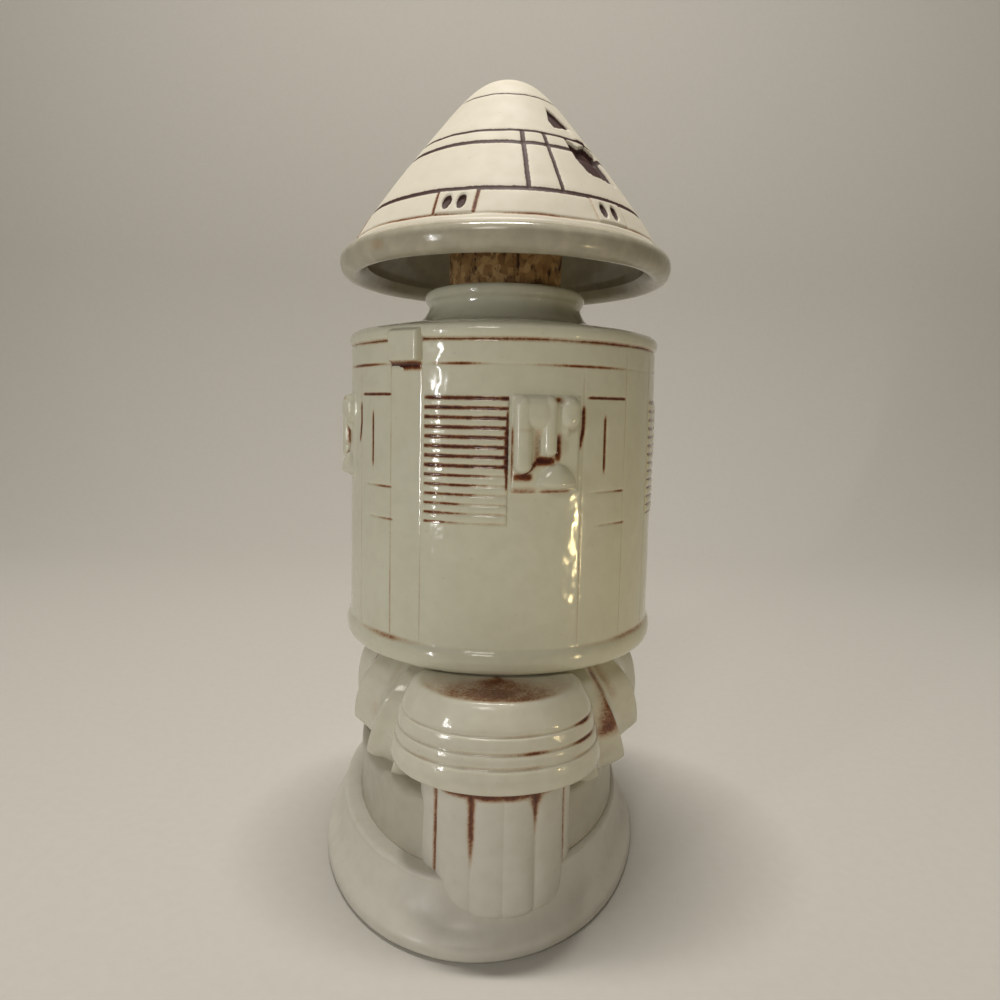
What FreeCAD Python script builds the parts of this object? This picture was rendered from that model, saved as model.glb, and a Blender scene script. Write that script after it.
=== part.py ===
"""Figural ceramic decanter: capsule-shaped stopper, cylindrical vessel, oval pedestal.

Millimetres. +Z is up, the foot stands on Z = 0, the vessel axis is the Z axis.
The narrow end that faces the viewer is -Y. Azimuths count from there, positive towards +X.
"""
import FreeCAD
import Part
import math
import os

Vector = FreeCAD.Vector
ORIGIN = Vector(0, 0, 0)
UP = Vector(0, 0, 1)

# Foot: flared oval ring with a rounded lip, hollow below
foot_half_width = 58.0
foot_half_depth = 81.0
foot_height = 19.5
foot_lip_height = 6.5
foot_lip_bulge = 2.0
foot_ring_width = 6.0
step_height = 2.4
step_margin = 4.0
foot_trim = 1.0

# Drum: oval band on the foot, closed by a deck
drum_half_width = 47.5
drum_half_depth = 67.0
drum_height = 20.5
drum_wall = 5.0
deck_thickness = 4.0

# Core: tube that carries the vessel on the drum's deck
core_radius = 24.0
core_wall = 5.0
core_height = 35.5

# Pleated fans: one lobed skirt, parted by the capitals into a left and a right shell
fan_neck_radius = 38.0
fan_half_width = 51.0
fan_half_depth = 62.0
fan_belly_height = 6.0
fan_pleats = 24
fan_pleat_depth = 2.6
fan_wall = 8.0
fan_roof = 7.0
fan_parting = 20.0

# Ringed bell capitals at both ends of the oval, wider than deep
capital_offset = 53.5
capital_rim_radius = 33.0
capital_half_depth = 25.4
capital_top_radius = 16.0
capital_rim_drop = 26.2
capital_ring_levels = (7.0, 11.0, 16.5)
capital_ring_groove = 0.9
capital_lean = 3.0
capital_dome_swell = 2.6

# Reeded half-round columns under the capitals, let into the drum and the step
column_setback = 2.0
column_rim_overhang = 3.6
column_taper = 0.6
column_low = 9.0
column_reeds = 12
column_groove_depth = 1.3
column_turn = 5.0

# Vessel
vessel_radius = 54.5
vessel_wall = 5.0
vessel_floor = 6.0
vessel_height = 101.7
vessel_lip_radius = 56.9
vessel_lip_height = 8.4
vessel_line_drop = 7.3
line_depth = 0.8

# Shoulder and neck
shoulder_radius = 55.2
shoulder_thickness = 5.0
neck_flare_radius = 30.8
neck_waist_radius = 27.2
neck_bead_radius = 28.8
neck_height = 16.6
neck_bore_radius = 19.3

# Applied ribbed panels, one per quarter
quarters = 4
panel_start = -26.4
panel_sweep = 29.2
panel_rise = 47.6
panel_ribs = 13
panel_pitch = 2.9
panel_relief = 1.0
panel_groove_depth = 0.6
panel_groove_width = 0.9

# Applied relief sprigs beside the panels
sprig_start = 3.7
sprig_sweep = 22.9
sprig_rise = 56.2
sprig_height = 30.0
sprig_relief = 1.1
sprig_sink = 10.0
# azimuth in the sprig, lower end, upper end, lower radius, upper radius
sprig_bells = (
    (3.7, 9.8, 25.0, 2.9, 3.3),
    (11.6, 13.8, 25.0, 2.3, 3.0),
    (18.3, 18.0, 25.0, 3.0, 3.3),
    (13.9, 4.8, 5.8, 4.8, 3.8),
)

# azimuths, level and radius of the bar that joins the upper bells
sprig_bar = (3.7, 18.3, 25.2, 3.5)

# Small raised block at the vessel's upper edge
block_start = -39.6
block_sweep = 13.0
block_height = 12.5
block_relief = 3.0

# Stopper cone
stopper_gap = 3.1
cone_lip_radius = 58.5
cone_lip_height = 9.6
cone_base_radius = 54.1
cone_crown_radius = 18.0
cone_height = 68.6
cone_crown_height = 10.3
cone_wall = 5.0
cone_belly = 1.2
boss_radius = 25.5
boss_clear = 14.3
socket_depth = 12.0

# Cork
cork_radius = 20.5
cork_plug_length = 13.6
cork_plug_taper = 1.0
cork_seat_clearance = 0.3
cork_bore_clearance = 0.3
cork_glue_gap = 0.15

# Levels that follow from the sizes above
deck_level = foot_height + drum_height
vessel_level = deck_level + core_height
shoulder_level = vessel_level + vessel_height
neck_level = shoulder_level + shoulder_thickness
mouth_level = neck_level + neck_height
panel_low = vessel_level + panel_rise
sprig_low = vessel_level + sprig_rise
cone_level = mouth_level + stopper_gap
column_top_radius = capital_half_depth + column_setback - column_rim_overhang
column_foot_radius = column_top_radius + column_taper
boss_level = mouth_level + cork_seat_clearance + boss_clear + stopper_gap


def profile_face(edges):
    """Face of a closed half-profile in the XZ plane."""
    return Part.Face(Part.Wire(edges))


def line(a, b):
    return Part.LineSegment(Vector(a[0], 0, a[1]), Vector(b[0], 0, b[1])).toShape()


def arc(a, m, b):
    start, middle, end = (Vector(p[0], 0, p[1]) for p in (a, m, b))
    return Part.Arc(start, middle, end).toShape()


def lines(*points):
    return [line(points[i], points[i + 1]) for i in range(len(points) - 1)]


def turned(edges):
    """Solid of revolution about the Z axis."""
    return profile_face(edges).revolve(ORIGIN, UP, 360)


def turned_sector(edges, start, sweep):
    """Part of a revolution, from an azimuth that counts from -Y towards +X."""
    solid = profile_face(edges).revolve(ORIGIN, UP, sweep)
    return solid.rotate(ORIGIN, UP, start - 90)


def stretched(shape, ratio):
    """Turns a round form into an oval one, longer along Y."""
    matrix = FreeCAD.Matrix()
    matrix.A22 = ratio
    return shape.transformGeometry(matrix)


def rear(shape):
    """Copy of a front piece for the far end of the oval."""
    twin = shape.copy()
    twin.rotate(ORIGIN, UP, 180)
    return twin


def single(shape):
    """The one solid of a result, cleaned of seams."""
    solids = shape.Solids
    if len(solids) != 1:
        raise ValueError("expected one solid, got %d" % len(solids))
    return solids[0]


def make_foot():
    width = foot_half_width
    step = drum_half_width + step_margin
    slope_top = foot_height - step_height
    lip_in = width - 1.4 * foot_lip_bulge
    hollow = drum_half_width - drum_wall
    mid_level = (foot_lip_height + slope_top) / 2
    mid_radius = step + 0.28 * (lip_in - step)
    inner_edge = width - foot_lip_bulge - foot_ring_width
    outer_edge = width - foot_lip_bulge
    edges = lines((inner_edge, 0), (inner_edge, -foot_trim), (outer_edge, -foot_trim), (outer_edge, 0))
    edges.append(arc((outer_edge, 0), (width, foot_lip_height / 2), (lip_in, foot_lip_height)))
    edges.append(arc((lip_in, foot_lip_height), (mid_radius, mid_level), (step, slope_top)))
    edges += lines(
        (step, slope_top),
        (step, foot_height),
        (hollow, foot_height),
        (inner_edge, 0),
    )
    oval = stretched(turned(edges), foot_half_depth / foot_half_width)
    size = 3 * foot_half_depth
    ground = Part.makeBox(size, size, 2 * foot_trim, Vector(-size / 2, -size / 2, -2 * foot_trim))
    return single(oval.cut(ground))


def make_drum():
    outer = drum_half_width
    inner = outer - drum_wall
    edges = lines(
        (inner, foot_height),
        (outer, foot_height),
        (outer, deck_level),
        (0, deck_level),
        (0, deck_level - deck_thickness),
        (inner, deck_level - deck_thickness),
        (inner, foot_height),
    )
    return stretched(turned(edges), drum_half_depth / drum_half_width)


def make_core():
    outer = Part.makeCylinder(core_radius, core_height, Vector(0, 0, deck_level))
    inner = Part.makeCylinder(core_radius - core_wall, core_height, Vector(0, 0, deck_level))
    return outer.cut(inner)


def lobed_wire(half_width, half_depth, depth, level):
    """Closed oval outline whose radius swells into even pleats."""
    points = []
    steps = fan_pleats * 6
    for i in range(steps):
        azimuth = 2 * math.pi * i / steps
        phase = fan_pleats * azimuth
        swell = depth * (0.25 * math.cos(2 * phase) - math.cos(phase))
        x = (half_width + swell) * math.sin(azimuth)
        y = -(half_depth + swell) * math.cos(azimuth)
        points.append(Vector(x, y, level))
    curve = Part.BSplineCurve()
    curve.interpolate(Points=points, PeriodicFlag=True)
    return Part.Wire(curve.toShape())


def make_fan_skirt():
    """Full pleated skirt between the drum's deck and the vessel, hollow inside."""
    rise = core_height
    belly = fan_belly_height
    neck = fan_neck_radius
    reach_x = fan_half_width - neck
    reach_y = fan_half_depth - neck
    # share of the reach, level above the deck, share of the pleat depth
    sections = (
        (0.8, 0.0, 0.8),
        (1.0, belly, 1.0),
        (1.0, belly + 0.32 * (rise - belly), 1.0),
        (0.85, belly + 0.64 * (rise - belly), 0.9),
        (0.45, belly + 0.87 * (rise - belly), 0.6),
        (0.0, rise, 0.3),
    )
    outer_wires = []
    inner_wires = []
    for share, height, pleat in sections:
        half_x = neck + share * reach_x
        half_y = neck + share * reach_y
        outer_wires.append(lobed_wire(half_x, half_y, pleat * fan_pleat_depth, deck_level + height))
        if height < rise:
            inner_level = deck_level + height * (rise - fan_roof) / rise
            inner_wires.append(lobed_wire(half_x - fan_wall, half_y - fan_wall, 0, inner_level))
    outer = Part.makeLoft(outer_wires, True)
    inner = Part.makeLoft(inner_wires, True)
    return outer.cut(inner)


def make_capital():
    """Ringed oval bell with a domed top, at the front end of the pedestal."""
    rim = vessel_level - capital_rim_drop
    radius = capital_rim_radius
    top = capital_top_radius
    groove = capital_ring_groove
    last = (radius, rim + 1.6)
    edges = lines((0, rim), (radius - 1.2, rim), last)
    for level in capital_ring_levels:
        at = radius - capital_lean * level / capital_ring_levels[-1]
        below = (at, rim + level - groove)
        bottom = (at - groove, rim + level)
        above = (at - 0.2, rim + level + groove)
        edges += lines(last, below, bottom, above)
        last = above
    middle_radius = (last[0] + top) / 2 + capital_dome_swell
    middle_level = (last[1] + vessel_level) / 2 + 0.3 * capital_dome_swell
    edges.append(arc(last, (middle_radius, middle_level), (top, vessel_level)))
    edges += lines((top, vessel_level), (0, vessel_level), (0, rim))
    bell = stretched(turned(edges), capital_half_depth / capital_rim_radius)
    bell.translate(Vector(0, -capital_offset, 0))
    return bell


def reeded_wire(radius, level):
    """Closed ring of convex reeds, one arc each, with sharp grooves between them."""
    valley = radius - column_groove_depth
    pitch = 2 * math.pi / column_reeds
    edges = []
    for i in range(column_reeds):
        points = []
        for share, reach in ((-0.5, valley), (0, radius), (0.5, valley)):
            turn = (i + share + 0.5) * pitch + math.radians(column_turn)
            points.append(Vector(reach * math.sin(turn), -reach * math.cos(turn), level))
        edges.append(Part.Arc(*points).toShape())
    return Part.Wire(edges)


def make_column_blank(top_level):
    """Reeded shaft on its own axis, a little wider at its lower end."""
    wires = [reeded_wire(column_foot_radius, column_low), reeded_wire(column_top_radius, top_level)]
    shaft = Part.makeLoft(wires, True, True)
    shaft.translate(Vector(0, column_setback - capital_offset, 0))
    return shaft


def make_vessel():
    outer = vessel_radius
    inner = outer - vessel_wall
    lip = vessel_lip_radius
    low = vessel_level
    lip_top = low + vessel_lip_height
    upper_line = shoulder_level - vessel_line_drop
    seat = lip - 4.5
    edges = [line((0, low), (seat, low))]
    edges.append(arc((seat, low), (lip - 0.7, low + 1.4), (lip, low + 4.2)))
    edges.append(arc((lip, low + 4.2), (lip - 0.5, lip_top - 1.6), (outer - line_depth, lip_top)))
    edges += lines(
        (outer - line_depth, lip_top),
        (outer, lip_top + line_depth),
        (outer, upper_line - line_depth),
        (outer - line_depth, upper_line),
        (outer, upper_line + line_depth),
        (outer, shoulder_level - line_depth),
        (outer - line_depth, shoulder_level),
        (inner, shoulder_level),
        (inner, low + vessel_floor),
        (0, low + vessel_floor),
        (0, low),
    )
    return turned(edges)


def make_shoulder():
    low = shoulder_level
    top = neck_level
    edge = vessel_radius - line_depth
    rim = shoulder_radius
    bore = neck_bore_radius
    waist_level = top + 0.42 * neck_height
    bead_level = mouth_level - 2.4
    edges = lines((bore, low), (edge, low), (rim - 0.3, low + 1.2))
    edges.append(arc((rim - 0.3, low + 1.2), (rim - 0.4, low + 3.6), (rim - 2.2, top)))
    edges.append(line((rim - 2.2, top), (neck_flare_radius, top)))
    edges.append(arc(
        (neck_flare_radius, top),
        (neck_waist_radius + 0.7, (top + waist_level) / 2),
        (neck_waist_radius, waist_level),
    ))
    edges.append(line((neck_waist_radius, waist_level), (neck_waist_radius + 0.3, bead_level - 2.4)))
    edges.append(arc(
        (neck_waist_radius + 0.3, bead_level - 2.4),
        (neck_bead_radius, bead_level),
        (neck_waist_radius + 0.3, mouth_level),
    ))
    edges += lines((neck_waist_radius + 0.3, mouth_level), (bore, mouth_level), (bore, low))
    return turned(edges)


def make_panel(index):
    """Curved plate on the vessel wall with even horizontal grooves."""
    inner = vessel_radius
    outer = inner + panel_relief
    floor = outer - panel_groove_depth
    half = panel_groove_width / 2
    high = panel_low + panel_ribs * panel_pitch
    points = [(inner, panel_low), (outer, panel_low)]
    for i in range(1, panel_ribs):
        level = panel_low + i * panel_pitch
        points += [(outer, level - half), (floor, level), (outer, level + half)]
    points += [(outer, high), (inner, high), (inner, panel_low)]
    start = panel_start + 360.0 / quarters * index
    return turned_sector(lines(*points), start, panel_sweep)


def make_sprig(index):
    """Relief pad with rounded nozzle bells, moulded as one sprig."""
    inner = vessel_radius
    outer = inner + sprig_relief
    high = sprig_low + sprig_height
    start = sprig_start + 360.0 / quarters * index
    pad = turned_sector(
        lines((inner, sprig_low), (outer, sprig_low), (outer, high), (inner, high), (inner, sprig_low)),
        start,
        sprig_sweep,
    )
    wall = Part.makeCylinder(inner, sprig_height + 2 * sprig_sink, Vector(0, 0, sprig_low - sprig_sink))
    bar_start, bar_end, bar_level, bar_radius = sprig_bar
    bar_centre = Vector(outer, 0, sprig_low + bar_level)
    bar_face = Part.Face(Part.Wire(Part.makeCircle(bar_radius, bar_centre, Vector(0, 1, 0))))
    bar = bar_face.revolve(ORIGIN, UP, bar_end - bar_start)
    bar.rotate(ORIGIN, UP, start + bar_start - 90)
    pad = pad.fuse(bar.cut(wall))
    for azimuth, low, top, low_radius, top_radius in sprig_bells:
        turn = math.radians(start + azimuth)
        radius = outer + 0.2
        foot = Vector(radius * math.sin(turn), -radius * math.cos(turn), sprig_low + low)
        head = foot + Vector(0, 0, top - low)
        bell = Part.makeCone(low_radius, top_radius, top - low, foot)
        bell = bell.fuse([Part.makeSphere(low_radius, foot), Part.makeSphere(top_radius, head)])
        pad = pad.fuse(bell.cut(wall))
    return single(pad.removeSplitter())


def make_block(shoulder):
    """Raised block on the wall and on the edge of the shoulder."""
    inner = vessel_radius
    outer = inner + block_relief
    high = neck_level
    low = high - block_height
    edges = lines(
        (inner, low),
        (outer - 0.8, low),
        (outer, low + 1.2),
        (outer, high - 1.6),
        (outer - 1.2, high),
        (inner, high),
        (inner, low),
    )
    return single(turned_sector(edges, block_start, block_sweep).cut(shoulder))


def make_cone():
    """Hollow conical stopper with a rolled lip and a boss that holds the cork."""
    low = cone_level
    lip = cone_lip_radius
    wall = cone_wall
    lip_top = low + cone_lip_height
    apex = low + cone_height
    crown_low = apex - cone_crown_height
    crown = cone_crown_radius
    base = cone_base_radius
    belly = ((base + crown) / 2 + cone_belly, (lip_top + crown_low) / 2 + cone_belly)
    slope = math.atan2(base - crown, crown_low - lip_top)
    inset = wall / math.cos(slope)
    inner_base = base - inset + 1.5
    inner_crown = crown - inset
    ceiling = apex - wall
    dome_radius = (crown ** 2 + cone_crown_height ** 2) / (2 * cone_crown_height)
    dome_half = math.asin(crown / dome_radius) / 2
    dome_middle = (dome_radius * math.sin(dome_half), apex - dome_radius * (1 - math.cos(dome_half)))
    boss_top = crown_low - 4
    socket = cork_radius + cork_glue_gap
    outer_edges = [
        arc((lip - 4.6, low), (lip - 1.2, low + 1.6), (lip, low + 5.0)),
        arc((lip, low + 5.0), (lip - 1.1, low + 8.0), (base + 0.9, lip_top - 0.6)),
        line((base + 0.9, lip_top - 0.6), (base, lip_top)),
        arc((base, lip_top), belly, (crown, crown_low)),
        arc((crown, crown_low), dome_middle, (0, apex)),
        line((0, apex), (0, ceiling)),
        line((0, ceiling), (inner_crown, crown_low)),
        line((inner_crown, crown_low), (inner_base, lip_top)),
        line((inner_base, lip_top), (lip - 4.6 - 0.5 * wall, low + 1.5)),
        line((lip - 4.6 - 0.5 * wall, low + 1.5), (lip - 4.6, low)),
    ]
    shell = turned(outer_edges)
    boss = Part.makeCylinder(boss_radius, boss_top - boss_level, Vector(0, 0, boss_level))
    outer_limit = Part.makeCone(base - 1, crown - 1, crown_low - lip_top, Vector(0, 0, lip_top))
    cup = Part.makeCylinder(socket, socket_depth, Vector(0, 0, boss_level))
    return single(shell.fuse(boss.common(outer_limit)).cut(cup).removeSplitter())


def make_cork():
    """Cork with a plain head in the stopper's socket and a tapered plug in the neck."""
    seat = mouth_level + cork_seat_clearance
    top = boss_level + socket_depth
    plug = neck_bore_radius - cork_bore_clearance
    end = plug - cork_plug_taper
    low = mouth_level - cork_plug_length
    edges = lines(
        (0, low),
        (end - 0.8, low),
        (end, low + 0.8),
        (plug, seat),
        (cork_radius, seat),
        (cork_radius, top),
        (0, top),
        (0, low),
    )
    return turned(edges)


def main():
    foot = make_foot()
    drum = make_drum()
    core = make_core()
    skirt = make_fan_skirt()
    shoulder = make_shoulder()

    seat_level = vessel_level - capital_rim_drop
    core_blank = Part.makeCylinder(core_radius, core_height, Vector(0, 0, deck_level))
    capital = single(make_capital())

    foot_face = foot.fuse(drum)
    column = make_column_blank(seat_level).cut(foot_face).cut(core_blank)
    column = max(column.Solids, key=lambda solid: solid.CenterOfMass.z)

    shaft_front = stretched(
        Part.makeCylinder(capital_rim_radius, 2 * foot_half_depth),
        capital_half_depth / capital_rim_radius,
    )
    shaft_front.translate(Vector(0, -capital_offset, 0))
    parting = Part.makeBox(
        fan_parting,
        2 * capital_offset,
        2 * foot_half_depth,
        Vector(-fan_parting / 2, -capital_offset, 0),
    )
    clear = shaft_front.fuse([rear(shaft_front), parting, core_blank])
    shells = skirt.cut(clear)
    fans = sorted(shells.Solids, key=lambda solid: -solid.Volume)[:2]
    fans.sort(key=lambda solid: solid.CenterOfMass.x)

    nodes = {
        "foot_plinth": foot,
        "plinth_drum": drum,
        "pedestal_core": core,
        "pleated_fan_left": fans[0],
        "pleated_fan_right": fans[1],
        "bell_capital_front": capital,
        "bell_capital_rear": rear(capital),
        "fluted_column_front": column,
        "fluted_column_rear": rear(column),
        "vessel_body": make_vessel(),
        "shoulder_neck": shoulder,
        "top_block": make_block(shoulder),
        "stopper_cone": make_cone(),
        "stopper_cork": make_cork(),
    }
    for index in range(quarters):
        nodes["ribbed_panel_%d" % (index + 1)] = make_panel(index)
        nodes["thruster_quad_%d" % (index + 1)] = make_sprig(index)

    os.makedirs("parts", exist_ok=True)
    for name, shape in nodes.items():
        if not shape.isValid():
            raise ValueError(name + " is not valid")
        shape.exportStep("parts/%s.step" % name)
        box = shape.BoundBox
        print(name, len(shape.Solids), round(shape.Volume), [round(v, 1) for v in (
            box.XMin, box.XMax, box.YMin, box.YMax, box.ZMin, box.ZMax)])


main()
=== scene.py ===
"""Looks of the figural ceramic decanter: capsule stopper, cylindrical vessel, oval pedestal.

Shapes are worked out in millimetres in the frame's own axes and stored in metres.
Azimuths count from the viewer's side (-Y) towards +X, in degrees.
"""
import bmesh
import bpy
import math
from mathutils import Matrix, Vector, noise


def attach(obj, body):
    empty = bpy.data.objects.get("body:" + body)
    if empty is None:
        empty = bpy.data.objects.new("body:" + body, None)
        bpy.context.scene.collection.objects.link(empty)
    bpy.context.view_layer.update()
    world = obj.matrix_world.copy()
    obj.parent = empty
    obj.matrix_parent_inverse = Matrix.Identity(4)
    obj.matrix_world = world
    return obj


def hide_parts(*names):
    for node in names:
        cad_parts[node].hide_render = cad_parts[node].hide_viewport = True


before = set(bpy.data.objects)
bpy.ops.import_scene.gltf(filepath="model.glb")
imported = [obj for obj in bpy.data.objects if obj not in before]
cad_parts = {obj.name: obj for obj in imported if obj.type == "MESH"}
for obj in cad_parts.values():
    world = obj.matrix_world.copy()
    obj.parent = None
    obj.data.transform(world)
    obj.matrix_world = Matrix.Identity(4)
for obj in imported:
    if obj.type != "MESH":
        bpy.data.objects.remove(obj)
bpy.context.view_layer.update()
MM = 0.001

# Driving sizes, in millimetres
# Vessel and stopper levels are counted from a datum this far above the table
DATUM = 10.2
# The vessel's wall opens out from its radius by the flare towards its foot
WALL = 54.5
WALL_LOW, WALL_HIGH, WALL_FLARE = 74.0, 166.2, 0.9
# The capitals and columns stand this far from the vessel's axis
CAPITAL_AXIS, COLUMN_AXIS = 53.5, 51.5
CAPITAL_RIM = 49.3
# The foot and the drum were set a little to the left of the vessel's axis
FOOT_SHIFT, DRUM_SHIFT = -5.4, -3.2
# Depth of each oval piece, as a multiple of its width
CAPITAL_STRETCH = 25.4 / 33.0
FOOT_STRETCH = 81.0 / 58.0
DRUM_STRETCH = 67.0 / 47.5


def colour(code):
    """Linear colour of an sRGB hex value."""
    parts = [int(code[i:i + 2], 16) / 255 for i in (1, 3, 5)]
    return tuple(c / 12.92 if c <= 0.04045 else ((c + 0.055) / 1.055) ** 2.4 for c in parts) + (1.0,)


def add(tree, kind, inputs=None, **settings):
    """One node with its settings, its fixed values and its links."""
    node = tree.nodes.new(kind)
    for key, value in settings.items():
        setattr(node, key, value)
    for key, value in (inputs or {}).items():
        if isinstance(value, bpy.types.NodeSocket):
            tree.links.new(value, node.inputs[key])
        else:
            node.inputs[key].default_value = value
    return node


def ramp_stops(node, stops):
    """Stops of a colour ramp, as pairs of place and hex value."""
    band = node.color_ramp
    while len(band.elements) < len(stops):
        band.elements.new(0.5)
    for element, (place, code) in zip(band.elements, stops):
        element.position = place
        element.color = colour(code)


def new_material(name):
    material = bpy.data.materials.new(name)
    material.use_nodes = True
    material.node_tree.nodes.clear()
    return material, material.node_tree


def glazed_earthenware(name, pale, warm, shade, roughness, ripple, orange_peel, lip_shade_colour=None):
    """Slip-cast earthenware under a clear glaze.

    The eye sees a pale ivory body with faint clouding, a few iron specks, brown oxide wiped
    into the grooves and a glossy skin whose slow ripple breaks up every highlight.
    """
    material, tree = new_material(name)
    place = add(tree, "ShaderNodeTexCoord").outputs["Object"]
    # clouding about 22 mm across
    cloud = add(tree, "ShaderNodeTexNoise", {"Vector": place, "Scale": 1 / 0.022, "Detail": 3.0, "Roughness": 0.55})
    body = add(tree, "ShaderNodeMix", {
        "Factor": cloud.outputs["Fac"], "A": colour(pale), "B": colour(warm)}, data_type="RGBA")
    # places where the glaze is thin and dry; on the cone the places beside them, its lip and inside, are painted
    # greyer as shade
    dry = add(tree, "ShaderNodeAttribute", attribute_name="dry").outputs["Fac"]
    if lip_shade_colour:
        body = add(tree, "ShaderNodeMix", {
            "Factor": dry, "A": colour(lip_shade_colour), "B": body.outputs["Result"]}, data_type="RGBA")
    # thin and thick places in the glaze, about 5 mm across
    film = add(tree, "ShaderNodeTexNoise", {"Vector": place, "Scale": 1 / 0.005, "Detail": 4.0})
    film_amount = add(tree, "ShaderNodeMapRange", {
        "Value": film.outputs["Fac"], "From Min": 0.42, "From Max": 0.78, "To Max": 0.35})
    pooled = add(tree, "ShaderNodeMix", {
        "Factor": film_amount.outputs["Result"], "A": body.outputs["Result"], "B": colour(shade)}, data_type="RGBA")
    # iron specks, about 0.5 mm wide and 5 mm apart
    speck = add(tree, "ShaderNodeTexVoronoi", {"Vector": place, "Scale": 1 / 0.0052, "Randomness": 1.0})
    speck_amount = add(tree, "ShaderNodeMapRange", {
        "Value": speck.outputs["Distance"], "From Min": 0.11, "From Max": 0.05, "To Max": 0.10})
    specked = add(tree, "ShaderNodeMix", {
        "Factor": speck_amount.outputs["Result"], "A": pooled.outputs["Result"], "B": colour("#8a6f52")},
        data_type="RGBA")
    # oxide in the grooves, worn through where the sponge wiped it, about 4 mm patches and 0.7 mm grain; the same
    # mark also carries painted shade under the bells' rims, on their flat tops and under the block and the mound
    stain = add(tree, "ShaderNodeAttribute", attribute_name="stain").outputs["Fac"]
    wipe = add(tree, "ShaderNodeTexNoise", {"Vector": place, "Scale": 1 / 0.004, "Detail": 2.0})
    grain = add(tree, "ShaderNodeTexNoise", {"Vector": place, "Scale": 1 / 0.0007, "Detail": 2.0})
    wear = add(tree, "ShaderNodeMath", {0: wipe.outputs["Fac"], 1: grain.outputs["Fac"]}, operation="ADD")
    kept = add(tree, "ShaderNodeMapRange", {
        "Value": wear.outputs["Value"], "From Min": 0.62, "From Max": 1.25, "To Min": 0.62, "To Max": 1.2})
    oxide = add(tree, "ShaderNodeMath", {0: stain, 1: kept.outputs["Result"]}, operation="MULTIPLY", use_clamp=True)
    tint = add(tree, "ShaderNodeValToRGB", {"Fac": oxide.outputs["Value"]})
    ramp_stops(tint, ((0.0, "#c9a878"), (0.35, "#9a6a3c"), (0.65, "#6e3a20"), (1.0, "#421a10")))
    cover = add(tree, "ShaderNodeMapRange", {"Value": oxide.outputs["Value"], "From Min": 0.06, "From Max": 0.5})
    stained = add(tree, "ShaderNodeMix", {
        "Factor": cover.outputs["Result"], "A": specked.outputs["Result"], "B": tint.outputs["Color"]},
        data_type="RGBA")
    # dark brush paint, crisp at its edge
    paint = add(tree, "ShaderNodeAttribute", attribute_name="paint").outputs["Fac"]
    bristle = add(tree, "ShaderNodeTexNoise", {"Vector": place, "Scale": 1 / 0.0011, "Detail": 3.0})
    edge = add(tree, "ShaderNodeMath", {
        0: bristle.outputs["Fac"], 1: 0.42, 2: paint}, operation="MULTIPLY_ADD")
    inked = add(tree, "ShaderNodeMapRange", {"Value": edge.outputs["Value"], "From Min": 0.52, "From Max": 0.72})
    brush = add(tree, "ShaderNodeMix", {
        "Factor": bristle.outputs["Fac"], "A": colour("#2a100c"), "B": colour("#4a2018")}, data_type="RGBA")
    final = add(tree, "ShaderNodeMix", {
        "Factor": inked.outputs["Result"], "A": stained.outputs["Result"], "B": brush.outputs["Result"]},
        data_type="RGBA")
    # glaze ripple: slow waves 4.5 mm long and a fine orange peel of 1.3 mm
    wave = add(tree, "ShaderNodeTexNoise", {"Vector": place, "Scale": 1 / 0.0045, "Detail": 1.0})
    peel = add(tree, "ShaderNodeTexNoise", {"Vector": place, "Scale": 1 / 0.0013, "Detail": 2.0})
    skin = add(tree, "ShaderNodeMath", {0: peel.outputs["Fac"], 1: orange_peel, 2: wave.outputs["Fac"]},
               operation="MULTIPLY_ADD")
    bump = add(tree, "ShaderNodeBump", {"Height": skin.outputs["Value"], "Strength": ripple, "Distance": 0.0006})
    dull = add(tree, "ShaderNodeMapRange", {
        "Value": film.outputs["Fac"], "From Min": 0.3, "From Max": 0.75,
        "To Min": roughness, "To Max": roughness + 0.10})
    sheen = add(tree, "ShaderNodeMath", {0: dry, 1: 0.5, 2: dull.outputs["Result"]}, operation="MULTIPLY_ADD")
    glaze = add(tree, "ShaderNodeBsdfPrincipled", {
        "Base Color": final.outputs["Result"], "Roughness": sheen.outputs["Value"],
        "Normal": bump.outputs["Normal"], "IOR": 1.52})
    add(tree, "ShaderNodeOutputMaterial", {"Surface": glaze.outputs["BSDF"]})
    return material


def cork_bark(name):
    """Natural cork: tan granules, dark lenticels and stained pores, dull and soft."""
    material, tree = new_material(name)
    place = add(tree, "ShaderNodeTexCoord").outputs["Object"]
    # granules about 2.5 mm across
    cell = add(tree, "ShaderNodeTexVoronoi", {"Vector": place, "Scale": 1 / 0.0025, "Randomness": 1.0})
    tan = add(tree, "ShaderNodeValToRGB", {"Fac": cell.outputs["Color"]})
    ramp_stops(tan, ((0.15, "#8f6b43"), (0.55, "#b08a5a"), (0.9, "#c9a673")))
    # pores that run along the bark, 3 mm wide and about 8 mm long
    stretch = add(tree, "ShaderNodeMapping", {"Vector": place, "Scale": (1 / 0.003, 1 / 0.003, 1 / 0.007)})
    pore = add(tree, "ShaderNodeTexNoise", {"Vector": stretch.outputs["Vector"], "Scale": 1.0, "Detail": 5.0,
                                            "Roughness": 0.65})
    dark = add(tree, "ShaderNodeMapRange", {"Value": pore.outputs["Fac"], "From Min": 0.52, "From Max": 0.64})
    bark = add(tree, "ShaderNodeMix", {
        "Factor": dark.outputs["Result"], "A": tan.outputs["Color"], "B": colour("#3c2416")}, data_type="RGBA")
    bump = add(tree, "ShaderNodeBump", {
        "Height": pore.outputs["Fac"], "Strength": 0.8, "Distance": 0.0012}, invert=True)
    surface = add(tree, "ShaderNodeBsdfPrincipled", {
        "Base Color": bark.outputs["Result"], "Roughness": 0.85, "Normal": bump.outputs["Normal"], "IOR": 1.45})
    add(tree, "ShaderNodeOutputMaterial", {"Surface": surface.outputs["BSDF"]})
    return material


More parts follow.
